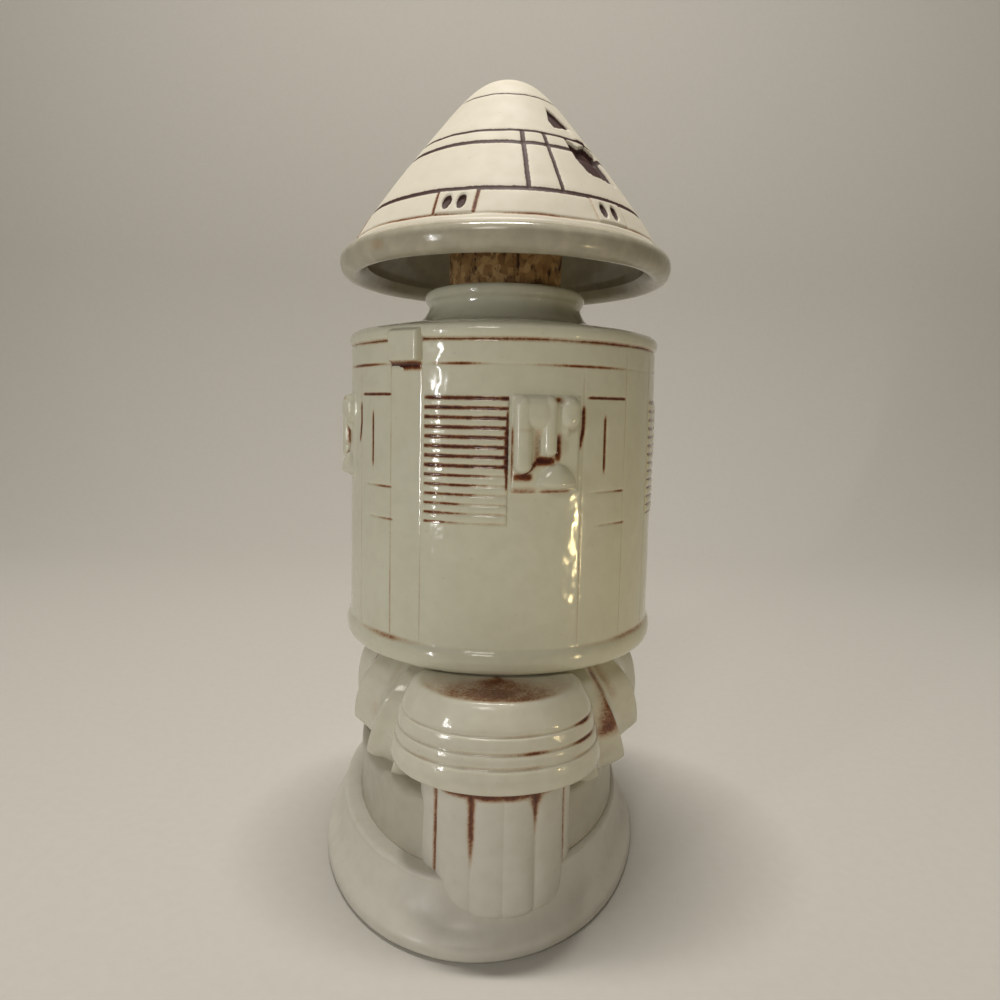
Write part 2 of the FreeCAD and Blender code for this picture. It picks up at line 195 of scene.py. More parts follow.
VESSEL_GLAZE = glazed_earthenware(
    "clear_glazed_ivory_earthenware", "#d9d8c4", "#d3d0ba", "#c5c2ac", 0.06, 0.36, 0.05)
BASE_GLAZE = glazed_earthenware(
    "thick_glazed_grey_ivory_earthenware", "#dfdccb", "#d6d2c0", "#c4bea9", 0.09, 0.36, 0.12)
PLINTH_GLAZE = glazed_earthenware(
    "thin_glazed_grey_ivory_earthenware", "#dbd8cd", "#d3cfc3", "#c3beae", 0.34, 0.20, 0.06)
# the drum's colours are darker than the other glazes: painted shade from the fans and bells that overhang it
DRUM_GLAZE = glazed_earthenware(
    "shade_darkened_grey_ivory_earthenware", "#c3bfb0", "#bab5a5", "#a8a291", 0.34, 0.20, 0.06)
# the cone's lip and inside take the greyer colour below, a painted shade
CONE_GLAZE = glazed_earthenware(
    "satin_glazed_white_earthenware", "#ebe5d4", "#e6decb", "#dcd2bd", 0.12, 0.14, 0.06, lip_shade_colour="#aca692")
CORK = cork_bark("natural_bark_cork")


def finish_piece(name, cells, points, marks, material, body, nodes, lift=0.0):
    """Object from points in millimetres, with its oxide, paint and dry-glaze marks stored on the mesh."""
    mesh = bpy.data.meshes.new(name)
    mesh.from_pydata([(x * MM, y * MM, (z + lift) * MM) for x, y, z in points], [], cells)
    for label in ("stain", "paint", "dry"):
        values = mesh.attributes.new(label, "FLOAT", "POINT")
        values.data.foreach_set("value", [mark.get(label, 0.0) for mark in marks])
    shaper = bmesh.new()
    shaper.from_mesh(mesh)
    bmesh.ops.remove_doubles(shaper, verts=shaper.verts, dist=1e-6)
    bmesh.ops.recalc_face_normals(shaper, faces=shaper.faces)
    shaper.to_mesh(mesh)
    shaper.free()
    mesh.polygons.foreach_set("use_smooth", [True] * len(mesh.polygons))
    mesh.materials.append(material)
    piece = bpy.data.objects.new(name, mesh)
    bpy.context.scene.collection.objects.link(piece)
    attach(piece, body)
    if nodes:
        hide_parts(*nodes)
    return piece


def grid_cells(rows, columns, wrap_rows, wrap_columns):
    """Four-sided faces between the points of a grid, closed on itself where asked."""
    cells = []
    for i in range(rows if wrap_rows else rows - 1):
        for j in range(columns if wrap_columns else columns - 1):
            a, b = i, (i + 1) % rows
            c, d = j, (j + 1) % columns
            cells.append((a * columns + c, a * columns + d, b * columns + d, b * columns + c))
    return cells


def rounded(corners, step):
    """Outline through (radius, level, rounding) corners, with soft bends and even points between them."""
    outline = []
    last = len(corners) - 1
    for k, (r, z, bend) in enumerate(corners):
        here = Vector((r, z))
        if bend == 0 or k in (0, last):
            outline.append(here)
            continue
        back = Vector(corners[k - 1][:2]) - here
        ahead = Vector(corners[k + 1][:2]) - here
        start = here + back.normalized() * min(bend, back.length * 0.48)
        end = here + ahead.normalized() * min(bend, ahead.length * 0.48)
        for s in range(7):
            t = s / 6
            outline.append(start * (1 - t) ** 2 + here * 2 * t * (1 - t) + end * t ** 2)
    even = [outline[0]]
    for a, b in zip(outline[:-1], outline[1:]):
        parts = max(1, int((b - a).length / step + 0.5))
        even += [a.lerp(b, (s + 1) / parts) for s in range(parts)]
    return even


def with_levels(outline, levels, low, high):
    """Adds points to an outline where it crosses given levels on its outer face."""
    result = [outline[0]]
    for a, b in zip(outline[:-1], outline[1:]):
        inside = [z for z in levels if low < z < high and min(a.y, b.y) < z < max(a.y, b.y)]
        for z in sorted(inside, reverse=a.y > b.y):
            result.append(a.lerp(b, (z - a.y) / (b.y - a.y)))
        result.append(b)
    return result


def fine_about(places, spread):
    """Places with close neighbours, so that a narrow line has points across it."""
    return [p + spread * s for p in places for s in (-1.6, -1.0, -0.55, -0.2, 0.2, 0.55, 1.0, 1.6)]


def bell_curve(distance, width):
    """1 at no distance, falling smoothly to 0 beyond about twice the width."""
    return math.exp(-(distance / width) ** 2)


def clamp(value, low=0.0, high=1.0):
    return max(low, min(high, value))


def between(value, low, high, soft):
    """1 inside a range, falling softly to 0 outside it."""
    rise = clamp((value - low) / soft + 0.5)
    fall = clamp((high - value) / soft + 0.5)
    return rise * rise * (3 - 2 * rise) * fall * fall * (3 - 2 * fall)


def from_place(azimuth, place=0.0):
    """Degrees round the axis from a place, or from the front, between -180 and 180."""
    return (azimuth - place + 180) % 360 - 180


def ring_noise(azimuth, size, third):
    """Noise that closes on itself round the axis."""
    turn = math.radians(azimuth)
    return noise.noise(Vector((math.sin(turn) * size, math.cos(turn) * size, third)))


def waviness(x, y, z, seed):
    """Slow unevenness of hand-finished ware, about a tenth of a millimetre."""
    at = Vector((x + seed, y, z))
    return 0.13 * noise.noise(at / 17.0) + 0.05 * noise.noise(at / 6.0)


def round_azimuths(count, extra=()):
    """Azimuths round the axis, with extra ones for narrow details."""
    step = 360.0 / count
    places = [i * step for i in range(count)] + [a % 360.0 for a in extra]
    kept = []
    for a in sorted(places):
        if not kept or a - kept[-1] > 0.04:
            kept.append(a)
    return kept


def turned_piece(name, outline, azimuths, relief, material, body, nodes, closed=False,
                 centre=(0.0, 0.0), stretch=1.0, seed=0.0, wave=1.0, lift=0.0):
    """Piece turned about an upright axis; relief(azimuth, radius, level) gives offset and marks."""
    points, marks = [], []
    directions = []
    count = len(outline)
    for k in range(count):
        before = outline[k - 1] if k > 0 or closed else outline[k]
        after = outline[(k + 1) % count] if k < count - 1 or closed else outline[k]
        run = after - before
        directions.append(Vector((run.y, -run.x)).normalized() if run.length > 0 else Vector((1, 0)))
    for k, spot in enumerate(outline):
        for a in azimuths:
            turn = math.radians(a)
            offset, mark = relief(a, spot.x, spot.y)
            if spot.x > 0.01:
                x, y = spot.x * math.sin(turn), -spot.x * math.cos(turn)
                offset += wave * waviness(x, y, spot.y, seed)
            r = max(0.0, spot.x + directions[k].x * offset)
            z = spot.y + directions[k].y * offset
            if spot.y <= 0.01:
                z = spot.y
            points.append((centre[0] + r * math.sin(turn), centre[1] - r * math.cos(turn) * stretch, z))
            marks.append(mark)
    cells = grid_cells(count, len(azimuths), closed, True)
    return finish_piece(name, cells, points, marks, material, body, nodes, lift)


def plain(azimuth, radius, level):
    """No relief and no marks."""
    return 0.0, {}


# Stopper cone

# level, half width and strength of each painted ring; the lowest one is only stained
CONE_RINGS = ((203.3, 0.42, 0.55), (211.8, 0.8, 1.0), (229.1, 0.75, 1.0), (233.9, 0.5, 0.95), (249.9, 0.32, 0.8))
STAINED_BELOW = 204.0
CONE_LINE_DEPTH = 0.25
# azimuth and half width of the two uprights, and the levels that they join
CONE_RIBS = ((7.7, 0.80), (20.6, 0.68))
RIB_LOW, RIB_HIGH = 211.8, 233.9
# azimuths of the port boxes, of which one has faint sides
FAINT_BOX = 38.2
CONE_BOXES = (-17.3, FAINT_BOX, 102.0, 160.0, 220.0, 282.0)
BOX_HALF, BOX_LOW, BOX_HIGH, BOX_RISE = 6.3, 203.6, 211.4, 0.25
# the two oval ports of a box: places across it, level, half width, half height, lean and depth
PORT_PLACES, PORT_LEVEL = (-2.7, 1.9), 207.4
PORT_HALF_WIDTH, PORT_HALF_HEIGHT, PORT_LEAN, PORT_DEPTH = 1.35, 2.3, 0.08, 0.9
# corners of the two windows, as azimuth and level
WINDOW = ((34.8, 233.4), (42.0, 231.0), (52.0, 233.2), (58.5, 231.0), (57.0, 219.8), (38.7, 221.4), (35.2, 226.1))
SLIT = ((34.6, 245.4), (40.0, 243.5), (48.0, 239.0), (31.4, 237.5), (29.8, 239.9))
WINDOW_DEPTH, SLIT_DEPTH, SHELF_RISE, WINDOW_EDGE = 1.9, 1.2, 0.6, 0.9
# the chip on the lip, and the level above which the glaze is thin and dry; below it the lip is coloured greyer as
# painted shade
CHIP_AZIMUTH, CHIP_LEVEL = 318.0, 196.0
LIP_TOP, DRY_FROM = 199.0, 201.4


def depth_inside(corners, azimuth, level, radius):
    """Millimetres from a point to the nearest edge of a shape on the cone, positive inside it."""
    scale = math.radians(1.0) * radius
    point = Vector((azimuth * scale, level * 1.25))
    nearest, within = 99.0, False
    for a, b in zip(corners, corners[1:] + corners[:1]):
        start, end = Vector((a[0] * scale, a[1] * 1.25)), Vector((b[0] * scale, b[1] * 1.25))
        run = end - start
        t = max(0.0, min(1.0, (point - start).dot(run) / run.length_squared))
        nearest = min(nearest, (point - start - run * t).length)
        if (start.y > point.y) != (end.y > point.y):
            if point.x < start.x + run.x * (point.y - start.y) / run.y:
                within = not within
    return nearest if within else -nearest


def cone_rings(azimuth, level):
    """Brushed rings with a slight wobble."""
    offset, paint, stain = 0.0, 0.0, 0.0
    for ring, width, strength in CONE_RINGS:
        wobble = 0.25 * ring_noise(azimuth, 5, ring)
        line = bell_curve(level - ring - wobble, width)
        offset -= CONE_LINE_DEPTH * line
        if ring < STAINED_BELOW:
            stain = max(stain, line * clamp(0.36 + 0.5 * ring_noise(azimuth, 3, 9.0), 0.08, 0.6))
        else:
            paint = max(paint, line * strength)
    return offset, paint, stain


def cone_uprights(azimuth, radius, level):
    """Brushed uprights between two of the rings."""
    offset, paint = 0.0, 0.0
    for rib, width in CONE_RIBS:
        reach = math.radians(from_place(azimuth, rib)) * radius
        line = bell_curve(reach, width) * between(level, RIB_LOW, RIB_HIGH, 0.8)
        offset -= CONE_LINE_DEPTH * line
        paint = max(paint, line)
    return offset, paint, 0.0


def cone_ports(azimuth, radius, level):
    """Slightly raised boxes with stained sides, each with two oval ports."""
    offset, paint, stain = 0.0, 0.0, 0.0
    height = between(level, BOX_LOW, BOX_HIGH, 0.8)
    rise = level - PORT_LEVEL
    for box in CONE_BOXES:
        reach = math.radians(from_place(azimuth, box)) * radius
        if abs(reach) > 2 * BOX_HALF:
            continue
        for side in (-BOX_HALF, BOX_HALF):
            line = bell_curve(reach - side, 0.5) * height
            offset -= 0.2 * line
            stain = max(stain, line * (0.3 if box == FAINT_BOX else 1.0))
        for port in PORT_PLACES:
            across = (reach - port - PORT_LEAN * rise) / PORT_HALF_WIDTH
            inside = 1.0 - (across ** 2 + (rise / PORT_HALF_HEIGHT) ** 2)
            if inside > -0.8:
                hole = clamp(inside * 1.6 + 0.5)
                offset -= PORT_DEPTH * hole
                paint = max(paint, hole)
        offset += BOX_RISE * between(reach, -BOX_HALF, BOX_HALF, 0.8) * height
    return offset, paint, stain


def cone_windows(azimuth, radius, level):
    """Dark window recess with a ragged shelf above it, and the slit over that."""
    away = from_place(azimuth)
    if not (26 < away < 64 and level > 216):
        return 0.0, 0.0, 0.0
    window = clamp(depth_inside(WINDOW, away, level, radius) / WINDOW_EDGE + 0.5)
    slit = clamp(depth_inside(SLIT, away, level, radius) / WINDOW_EDGE + 0.5)
    shelf = between(away, 44.0, 54.0, 5.0) * between(level, 233.8, 238.0, 2.0)
    return SHELF_RISE * shelf - WINDOW_DEPTH * window - SLIT_DEPTH * slit, max(window, slit), 0.0


def cone_relief(azimuth, radius, level):
    """Painted and incised lines, paired ports and the window recess of the capsule."""
    if level < LIP_TOP or radius < 3.0:
        chip = bell_curve(from_place(azimuth, CHIP_AZIMUTH), 3.0) * bell_curve(level - CHIP_LEVEL, 2.0)
        return -0.5 * chip, {"stain": 0.25 * chip, "dry": 1.0 if level > DRY_FROM else 0.0}
    offsets, paints, stains = zip(
        cone_rings(azimuth, level), cone_uprights(azimuth, radius, level),
        cone_ports(azimuth, radius, level), cone_windows(azimuth, radius, level))
    marks = {"paint": max(paints), "stain": max(stains), "dry": between(level, DRY_FROM, 300.0, 2.4)}
    return sum(offsets), marks


cone_shell = rounded((
    (49.2, 196.5, 0), (51.2, 193.4, 1.5), (54.0, 191.7, 1.6), (57.6, 193.0, 2.2), (58.6, 197.0, 2.4),
    (57.6, 199.6, 1.6), (55.0, 200.9, 1.0), (54.1, 201.6, 0.5), (48.9, 210.4, 6.0), (37.0, 226.6, 8.0),
    (18.2, 249.8, 6.0), (11.5, 256.6, 5.0), (5.5, 259.7, 3.5), (0.0, 260.3, 0)), 1.6)
cone_levels = fine_about([ring for ring, width, strength in CONE_RINGS], 0.55)
cone_levels += [204.0 + 0.5 * k for k in range(15)] + [218.0 + 0.6 * k for k in range(48)]
cone_shell = with_levels(cone_shell, cone_levels, 200.5, 258.0)
# the inside: round the boss that holds the cork, then down the cone's inner face to the lip
cone_inside = rounded((
    (0.0, 255.3, 0), (9.0, 252.0, 2.0), (14.0, 247.0, 2.0), (25.4, 233.0, 1.5), (25.5, 206.3, 1.2),
    (20.8, 206.3, 0.8), (20.7, 212.0, 0)), 3.0)
cone_inside += rounded(((26.4, 231.5, 0), (47.6, 204.0, 2.0), (49.4, 199.0, 1.0), (49.25, 196.6, 0)), 3.0)
cone_extra = fine_about([rib for rib, width in CONE_RIBS], 0.9)
for box in CONE_BOXES:
    cone_extra += [box + 0.55 * k for k in range(-18, 19)]
cone_extra += [28.0 + 0.8 * k for k in range(42)]
turned_piece("stopper_cone_shell", cone_shell, round_azimuths(180, cone_extra), cone_relief,
             CONE_GLAZE, "stopper", ["stopper_cone"], seed=3.0, lift=DATUM)
turned_piece("stopper_cone_inside", cone_inside, round_azimuths(128), plain,
             CONE_GLAZE, "stopper", [], seed=5.0, lift=DATUM)


# Cork

def cork_relief(azimuth, radius, level):
    """Pitted bark."""
    turn = math.radians(azimuth)
    at = Vector((radius * math.sin(turn), -radius * math.cos(turn), level))
    pit = max(0.0, noise.noise(at / 2.6) - 0.12)
    return 0.25 * noise.noise(at / 6.0) - 1.1 * pit, {}


cork_outline = rounded((
    (0.0, 175.0, 0), (17.2, 175.0, 1.2), (18.0, 176.2, 1.0), (18.9, 188.4, 0.3), (20.2, 189.2, 0.6),
    (20.3, 212.0, 1.0), (0.0, 212.2, 0)), 0.8)
turned_piece("stopper_cork_bark", cork_outline, round_azimuths(150), cork_relief, CORK, "stopper",
             ["stopper_cork"], wave=0.0, lift=DATUM)


# Vessel wall with its incised panel lines, repeated in each quarter

# azimuth, low level, high level, half width, oxide strength; a strength under FAINT is a nearly flush line
UPRIGHTS = (
    (26.7, 74.5, 159.0, 0.34, 0.20),
    (45.6, 74.5, 166.0, 0.36, 0.24),
    (63.4, 74.5, 166.0, 0.36, 0.26),
    (26.7, 136.0, 148.2, 0.66, 0.95),
    (35.7, 128.5, 146.0, 0.55, 0.80),
)
FAINT, FAINT_DEPTH, LINE_DEPTH = 0.5, 0.07, 0.22
# a line stronger than STRONG keeps all its oxide; such an upright is a hook, which leans below its bend
STRONG, HOOK_BEND, HOOK_LEAN = 0.9, 141.5, 0.25
# level, first azimuth, last azimuth, half width, oxide strength
LEVELS = (
    (151.6, 28.3, 45.4, 0.45, 0.95),
    (122.6, 31.0, 46.0, 0.45, 0.60),
    (112.3, 34.0, 46.4, 0.45, 0.60),
)
LEVEL_DEPTH = 0.25
# where a quarter starts, and how far the lines of each quarter stand round from their even places;
# the uprights from TURN_END on keep their places
QUARTER_START, LINE_TURN, TURN_END = -26.5, (0.0, 0.0, 0.0, 5.0), 60.0
# levels of the ring under the upper edge, and of the seam with the shoulder
RING_LEVEL, RING_DEPTH, SEAM = 160.8, 0.12, 168.0
FOOT_LINE_DEPTH = 0.15
INNER_WALL = 49.5


def wall_lines(even, quarter, level, patch):
    """Scored uprights and short levels of one quarter."""
    offset, stain = 0.0, 0.0
    for place, low, high, width, strength in UPRIGHTS:
        lean = HOOK_LEAN * min(0.0, level - HOOK_BEND) if strength > STRONG else 0.0
        reach = math.radians((even if place > TURN_END else quarter) - place) * WALL - lean
        line = bell_curve(reach, width) * between(level, low, high, 2.0)
        faint = strength < FAINT
        offset -= (FAINT_DEPTH if faint else LINE_DEPTH) * line
        stain = max(stain, strength * line * (max(0.0, 0.2 + 1.6 * patch) if faint else 1.0))
    for place, first, last, width, strength in LEVELS:
        line = bell_curve(level - place, width) * between(quarter, first, last, 2.0)
        fade = 1.0 if strength > STRONG else 0.35 + 0.65 * between(quarter, first + 8, last + 8, 10.0)
        offset -= LEVEL_DEPTH * line
        stain = max(stain, strength * line * fade)
    return offset, stain


def vessel_relief(azimuth, radius, level):
    """Scored lines of each quarter, the upper ring, the seam and the line above the foot's roll."""
    if radius < INNER_WALL + 0.7:
        return 0.0, {}
    even = (azimuth - QUARTER_START) % 90.0 + QUARTER_START
    quarter = even - LINE_TURN[int((azimuth - QUARTER_START) % 360.0 // 90.0)]
    patch = 0.5 + 0.9 * ring_noise(azimuth, 2.2, level / 40.0 + 7)
    offset, stain = wall_lines(even, quarter, level, patch)
    ring = bell_curve(level - RING_LEVEL, 0.5)
    kept = 0.55 * bell_curve(quarter + 14.0, 9.0) + 0.75 * bell_curve(quarter - 27.0, 17.0)
    ring_stain = ring * clamp(kept * (0.7 + 0.5 * patch), 0.1)
    seam_stain = 0.6 * bell_curve(level - SEAM, 0.7) * clamp(patch + 0.35, 0.1)
    foot_line = bell_curve(level - WALL_LOW, 0.9)
    away = from_place(azimuth)
    side = bell_curve(away + 40.0, 15.0) + bell_curve(away - 52.0, 22.0) + bell_curve(abs(away) - 150.0, 40.0)
    foot_stain = foot_line * min(1.0, side) * (0.2 + 0.35 * patch)
    offset -= RING_DEPTH * ring + FOOT_LINE_DEPTH * foot_line
    return offset, {"stain": max(stain, ring_stain, seam_stain, foot_stain)}


vessel_outline = rounded((
    (0.0, 65.3, 0), (52.4, 65.3, 2.5), (56.0, 66.7, 2.4), (56.9, 69.6, 2.2), (56.6, 72.4, 1.6),
    (WALL + WALL_FLARE, 74.1, 1.2), (WALL, 167.2, 0.8), (54.1, SEAM, 0)), 2.4)
vessel_levels = fine_about([RING_LEVEL, *(line[0] for line in LEVELS), WALL_LOW], 0.45)
vessel_levels += [166.6 + 0.2 * k for k in range(7)]
vessel_outline = with_levels(vessel_outline, vessel_levels, 72.0, SEAM)
vessel_outline += rounded(((INNER_WALL, SEAM, 0), (INNER_WALL, 71.5, 3.0), (0.0, 71.3, 0)), 6.0)
vessel_extra = []
for quarter in range(4):
    for place, low, high, width, strength in UPRIGHTS:
        place += LINE_TURN[quarter] if place < TURN_END else 0.0
        vessel_extra += [a + 90.0 * quarter for a in fine_about([place], math.degrees(width / WALL))]
turned_piece("vessel_body_glazed", vessel_outline, round_azimuths(220, vessel_extra), vessel_relief,
             VESSEL_GLAZE, "decanter", ["vessel_body"], seed=11.0, lift=DATUM)


# Shoulder and neck

def shoulder_relief(azimuth, radius, level):
    """Oxide in the seam with the wall."""
    seam = bell_curve(level - SEAM, 0.7) if radius > 50 else 0.0
    return 0.0, {"stain": 0.6 * seam * clamp(0.75 + ring_noise(azimuth, 2.0, 31.0), 0.3)}


NECK_BORE = 19.3
shoulder_outline = rounded((
    (NECK_BORE, SEAM, 0), (54.1, SEAM, 0.3), (54.9, 168.9, 0.8), (55.2, 171.0, 1.4), (53.9, 172.7, 1.6),
    (50.0, 173.7, 3.0), (33.4, 176.6, 2.4), (29.7, 178.4, 2.6), (27.6, 181.6, 2.0), (27.4, 183.8, 1.2),
    (28.7, 185.2, 0.9), (28.8, 187.4, 0.9), (27.4, 188.6, 0.9), (20.2, 188.6, 0.8), (NECK_BORE, 187.6, 0.6),
    (NECK_BORE, SEAM + 0.1, 0)), 1.8)
turned_piece("shoulder_neck_glazed", shoulder_outline, round_azimuths(200), shoulder_relief,
             VESSEL_GLAZE, "decanter", ["shoulder_neck"], closed=True, seed=17.0, lift=DATUM)


def wall_radius(level):
    """Radius of the flared wall at a level."""
    return WALL + WALL_FLARE * max(0.0, WALL_HIGH - level) / (WALL_HIGH - WALL_LOW)


PATCH_SINK = 0.8


def wall_patch(name, node, first, last, low, high, step, height):
    """Relief on the vessel wall: height(across, level) gives its rise and marks; its edges sink into the wall."""
    across = max(6, int(math.radians(last - first) * WALL / step))
    upward = max(6, int((high - low) / step))
    points, marks = [], []
    for i in range(upward + 1):
        level = low + (high - low) * i / upward
        for j in range(across + 1):
            a = first + (last - first) * j / across
            rise, mark = height(a - first, level)
            if i in (0, upward) or j in (0, across):
                rise = -PATCH_SINK
            turn = math.radians(a)
            r = wall_radius(level) + rise
            points.append((r * math.sin(turn), -r * math.cos(turn), level))
            marks.append(mark)
    cells = grid_cells(upward + 1, across + 1, False, False)
    return finish_piece(name, cells, points, marks, VESSEL_GLAZE, "decanter", [node], DATUM)


# Ribbed panels: thirteen ribs between fourteen wiped grooves

PANEL_LOW, PANEL_HIGH, PANEL_PITCH = 113.4, 151.3, 2.873
# azimuths, in degrees
PANEL_START, PANEL_SWEEP = -26.0, 28.3
RIB_RISE, GROOVE_DEPTH, GROOVE_HALF = 0.55, 0.5, 0.45
# the lowest grooves are wiped thinner, and only part of the way across
WIPED_GROOVES = 6


def panel_height(index):
    """Relief of one panel; its index varies the wiped oxide."""
    def height(across, level):
        step = (level - PANEL_LOW) / PANEL_PITCH
        near = round(step)
        gap = abs(step - near) * PANEL_PITCH
        inner = between(across, 0.5, PANEL_SWEEP - 0.4, 0.8) * between(level, PANEL_LOW - 0.6, PANEL_HIGH, 0.6)
        width, fade = 0.56, 1.0
        if near < WIPED_GROOVES:
            reach = 10.0 + 2.2 * near + 5.0 * noise.noise(Vector((near * 3.1, index * 7.7, 0.3)))
            width, fade = 0.44, 0.25 + 0.75 * between(across, -9, reach, 9.0) * (0.55 + 0.07 * near)
        rough = 0.95 + 0.3 * noise.noise(Vector((across * 0.5, near * 2.3, index * 5.0)))
        line = bell_curve(gap, width) * fade * rough * between(across, 0.6, PANEL_SWEEP - 0.2, 1.6)
        thick = 0.4 + 0.5 * between(level, 129.0, 142.0, 4.0)
        side = bell_curve(across - PANEL_SWEEP + 0.7, thick) * between(level, 124.0, 147.0, 4.0)
        rise = inner * (RIB_RISE - GROOVE_DEPTH * bell_curve(gap, GROOVE_HALF))
        return rise, {"stain": max(line, side * 0.9)}
    return height


# Relief sprigs: nozzle bells that hang from one broad head, and a mound below them

# centre, lower end, half width and height of each bell
SPRIG_BELLS = ((3.6, 6.1, 2.9, 3.4), (11.5, 11.1, 2.3, 3.1), (17.8, 19.6, 3.4, 3.2))
BELLS_TOP = 29.2
# azimuths of the sprig's sides, and the level of its lower edge
SPRIG_START, SPRIG_END, SPRIG_LOW = 2.6, 25.8, 122.6


def sprig_forms(x, z):
    """Rise of the head, the bells and the mound at a place across and up the sprig."""
    forms = [(1.0 - (abs((x - 7.2) / 6.6) ** 3.2 + abs((z - 24.2) / 5.0) ** 3), 3.3)]
    for centre, low, half, height in SPRIG_BELLS:
        drop = max(0.0, low + half - z)
        above = max(0.0, z - BELLS_TOP + half)
        forms.append((1.0 - (math.hypot(x - centre, max(drop, above)) / half) ** 2.6, height))
    mound = (z - 3.2) / (6.2 if z > 3.2 else 1.8)
    forms.append((1.0 - abs((x - 14.1) / 6.3) ** 1.7 - abs(mound) ** 1.6, 3.6))
    return max(height * max(0.0, inside) ** 0.45 for inside, height in forms)


def sprig_oxide_and_shadow(x, z, rise):
    """Oxide left in the slots between the forms, under them and along the sprig's edges, and a painted shadow under
    the mound.
    """
    run = clamp((x - 3.4) / 4.6)
    in_slots = (
        0.34 * bell_curve(x - 7.8, 1.2) * between(z, 8.5, 20.0, 3.0),
        0.85 * bell_curve(x - 14.2, 1.0) * between(z, 10.0, 18.0, 3.0),
    )
    under_bells = (
        bell_curve(z - 10.0, 1.3) * between(x, 7.4, 13.2, 1.8),
        0.85 * bell_curve(math.hypot(x - 3.4 - 4.6 * run, z - 5.2 - 4.6 * run), 1.1),
        0.8 * bell_curve(z - 5.2, 1.2) * between(x, 1.0, 6.6, 2.0),
    )
    along_edges = (
        0.40 * bell_curve(z - 0.9, 1.3) * between(x, 0.4, 8.0, 3.0),
        # painted shadow: the line along the lower edge under the mound
        0.50 * bell_curve(z - 0.9, 0.7) * between(x, 9.0, 18.6, 3.0),
        0.5 * bell_curve(x - 0.5, 0.5) * between(z, 4.0, 20.0, 4.0),
    )
    valley = 0.6 * bell_curve(math.hypot((x - 13.9) / 1.6, z - 28.0), 1.0)
    smear = 0.16 * bell_curve(z - 19.0, 1.0) * between(x, 1.5, 7.0, 2.0)
    ground = clamp((2.2 - rise) / 1.2)
    return max(ground * max(in_slots + under_bells + along_edges), valley, smear)


def sprig_height(across, level):
    """Relief of one sprig: its forms, the webs that join them and the pad they lie on."""
    x, z = math.radians(across) * WALL, level - SPRIG_LOW
    rise = sprig_forms(x, z)
    pad = 0.7 * between(x, 0.6, 21.2, 1.2) * between(z, 0.8, 29.4, 1.2)
    webs = 1.9 * between(x, 5.5, 18.0, 3.0) * between(z, 17.0, 27.6, 5.0)
    return max(pad, webs, rise), {"stain": sprig_oxide_and_shadow(x, z, rise)}


BLOCK_RISE, BLOCK_LOW, BLOCK_HIGH = 2.4, 161.2, 171.0


def block_height(across, level):
    """The small block at the wall's upper edge, with a painted shadow under it."""
    x = math.radians(across) * WALL
    rise = BLOCK_RISE * between(x, 0.5, 12.0, 1.6) * between(level, BLOCK_LOW, BLOCK_HIGH, 1.6)
    # painted shadow: a dark line below the block, carried by the stain mark
    shadow = bell_curve(level - 160.2, 1.3) * between(x, 0.4, 12.2, 1.4)
    return rise, {"stain": shadow if rise < BLOCK_RISE - 0.2 else 0.0}


for index in range(4):
    start = 90.0 * index
    wall_patch("ribbed_panel_%d_clay" % (index + 1), "ribbed_panel_%d" % (index + 1), PANEL_START + start,
               PANEL_START + PANEL_SWEEP + start, 112.4, 151.9, 0.3, panel_height(index))
    wall_patch("thruster_quad_%d_clay" % (index + 1), "thruster_quad_%d" % (index + 1), SPRIG_START + start,
               SPRIG_END + start, 121.8, 152.4, 0.34, sprig_height)
wall_patch("top_block_clay", "top_block", -39.6, -26.4, 158.0, 172.4, 0.36, block_height)


# Ringed bell capitals, wider than deep

CAPITAL_RINGS = (58.0, 62.0, 66.9)
RING_GROOVE, RING_HALF = 0.6, 0.6
# the flat top starts above this level and ends at this radius
CAPITAL_TOP, CAPITAL_FLAT = 69.0, 24.2


def capital_relief(azimuth, radius, level):
    """Three ring grooves with oxide at their right ends, and painted shade on the flat top under the vessel."""
    away = from_place(azimuth)
    if level > CAPITAL_TOP:
        # painted shade: the flat top lies in the vessel's shadow, so the stain mark darkens it evenly
        return 0.0, {"stain": 0.55 * between(radius, -40.0, CAPITAL_FLAT, 2.4) * bell_curve(away, 75.0)}
    if radius < 28:
        return 0.0, {}
    offset, stain = 0.0, 0.0
    for ring in CAPITAL_RINGS:
        patch = ring_noise(azimuth, 3.0, ring * 3.3)
        ends = bell_curve(away - 62.0, 10.0) * (0.2 if ring == CAPITAL_RINGS[0] else 1.0)
        ends += 0.5 * bell_curve(away - 22.0, 8.0) * (1.0 if ring == CAPITAL_RINGS[1] else 0.3)
        line = bell_curve(level - ring, RING_HALF)
        offset -= RING_GROOVE * line
        stain = max(stain, line * clamp(0.12 + 0.22 * patch + ends * (0.7 + patch), 0.05))
    return offset, {"stain": stain}


capital_outline = rounded((
    (0.0, 49.6, 0), (30.8, 49.6, 1.4), (32.4, 50.6, 1.6), (33.0, 53.4, 1.6), (31.9, 58.0, 0.6), (31.1, 62.0, 0.6),
    (30.0, 66.9, 1.4), (28.5, 70.6, 3.0), (25.6, 75.0, 2.2), (23.0, 75.2, 0), (18.0, 75.3, 0), (0.0, 75.4, 0)), 1.2)
capital_outline = with_levels(capital_outline, fine_about(CAPITAL_RINGS, 0.55), 52.0, CAPITAL_TOP)
for side, end in ((-1, "front"), (1, "rear")):
    turned_piece("bell_capital_%s_glazed" % end, capital_outline, round_azimuths(180), capital_relief,
                 BASE_GLAZE, "decanter", ["bell_capital_" + end],
                 centre=(0.0, side * CAPITAL_AXIS), stretch=CAPITAL_STRETCH, seed=23.0 + side)


# Reeded columns: half round, standing out of the drum, with a rounded lower end over the foot

COLUMN_LOW, COLUMN_ROUND = 9.1, 3.2
COLUMN_RADIUS, COLUMN_TAPER = 24.4, 0.6
# the column's face runs this many degrees to either side
COLUMN_SWEEP = 120.0
# millimetres along the face in one degree of azimuth
FACE_DEGREE = 0.42
